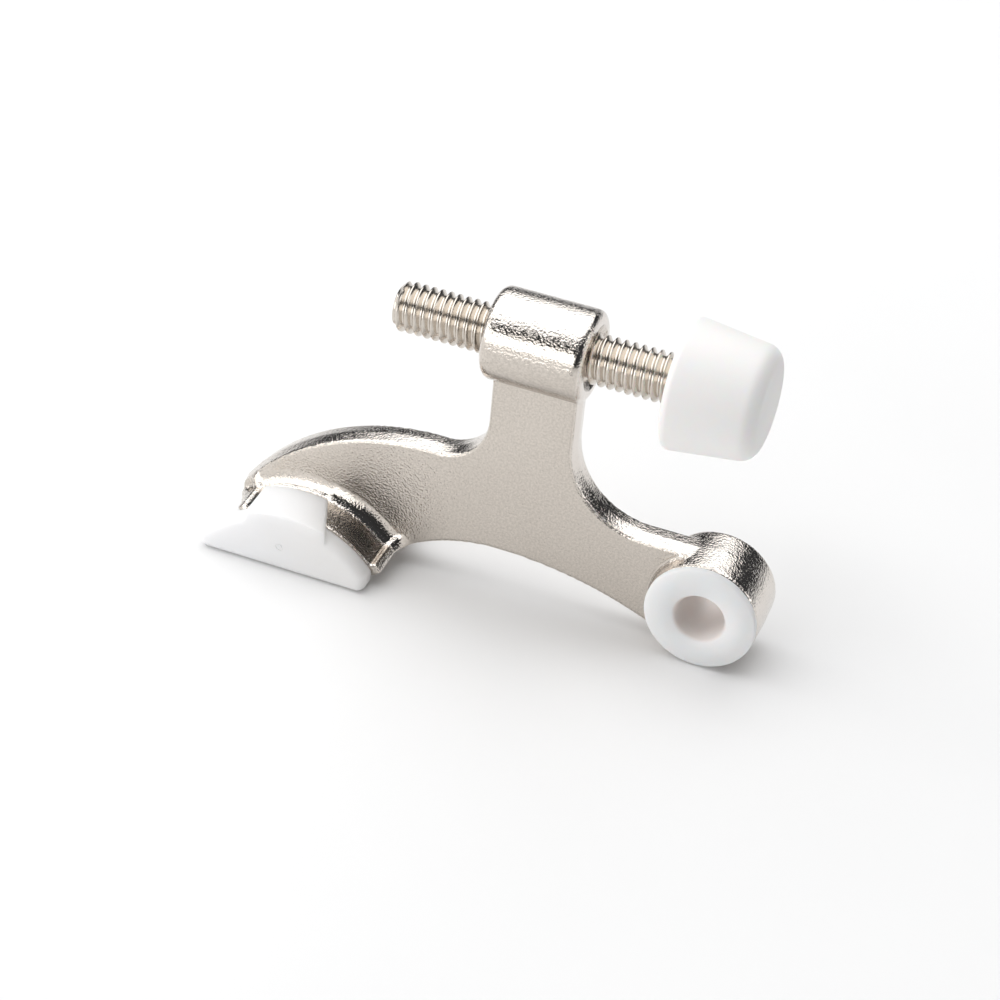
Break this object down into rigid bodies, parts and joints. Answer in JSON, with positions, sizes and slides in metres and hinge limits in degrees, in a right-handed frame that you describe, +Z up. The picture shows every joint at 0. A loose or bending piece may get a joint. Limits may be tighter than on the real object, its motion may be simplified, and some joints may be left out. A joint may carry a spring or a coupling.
{
  "type": "door stop",
  "caption": "Hinge pin door stop: cast arm with an eye for the hinge pin, a half-moon pad that rests on the door and a rubber bumper on an adjusting screw",
  "frame": {"origin": "on the hinge pin's axis, midway along the eye's barrel", "axes": "+Y along the hinge pin, away from the bush's flange; +X along the adjusting screw towards the bumper; +Z up when the stop stands on its pad and its eye"},
  "size_m": [0.0919, 0.0268, 0.0568],
  "materials": {
    "satin_nickel_casting": "satin nickel plate on a die casting",
    "nickel_screw": "nickel plate on steel thread",
    "bush_nylon": "white nylon",
    "pad_nylon": "translucent white nylon",
    "bumper_rubber": "matt white rubber"
  },
  "bodies": {
    "stop_body": {"arm": "satin_nickel_casting", "hinge_bush": "bush_nylon", "door_pad": "pad_nylon"},
    "bumper_tip": {"bumper": "bumper_rubber"},
    "screw": {"threaded_rod": "nickel_screw"}
  },
  "joints": [
    {"name": "screw_travel", "type": "slide", "parent": "stop_body", "child": "bumper_tip", "axis": [1, 0, 0], "range_m": [-0.0127, 0.01623]},
    {"name": "screw_spin", "type": "hinge", "parent": "bumper_tip", "child": "screw", "pos_m": [-0.0312, 0, 0.0373], "axis": [1, 0, 0], "range_deg": [-3240, 4140]}
  ],
  "couplings": [
    {"joint": "screw_spin", "follows": "screw_travel", "rad_per_m": 4453}
  ]
}
